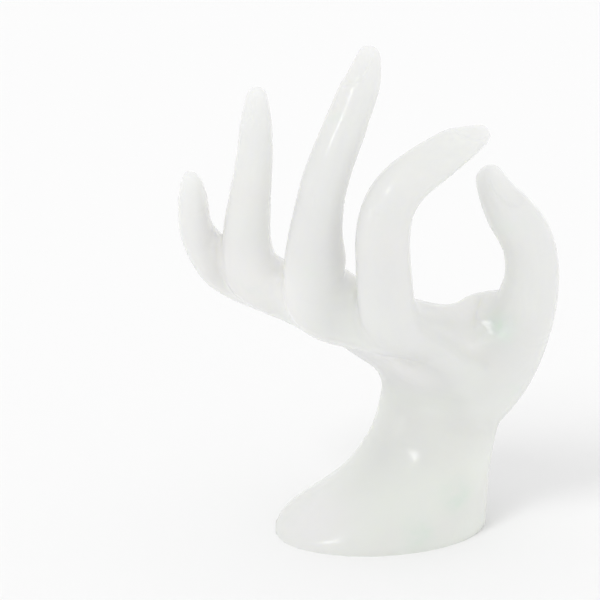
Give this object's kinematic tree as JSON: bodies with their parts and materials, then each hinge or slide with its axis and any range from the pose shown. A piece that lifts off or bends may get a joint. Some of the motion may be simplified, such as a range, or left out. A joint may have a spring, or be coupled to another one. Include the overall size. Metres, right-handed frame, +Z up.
{
  "type": "jewelry stand",
  "caption": "Free-standing hand-shaped stand on an oval foot: raised fingers hold rings, and a thumb-and-finger loop and bent wrist take chains and bracelets.",
  "frame": {"origin": "centre of the oval foot's outline, on its flat underside", "axes": "+Z up from the underside, +X to the right as the picture shows the stand, +Y away from the viewer, so the back of the hand and the index finger face -Y"},
  "size_m": [0.1152, 0.0696, 0.1593],
  "materials": {
    "frosted_resin": "frosted satin, slightly translucent"
  },
  "bodies": {
    "root": {"hand_form": "frosted_resin"}
  },
  "joints": []
}
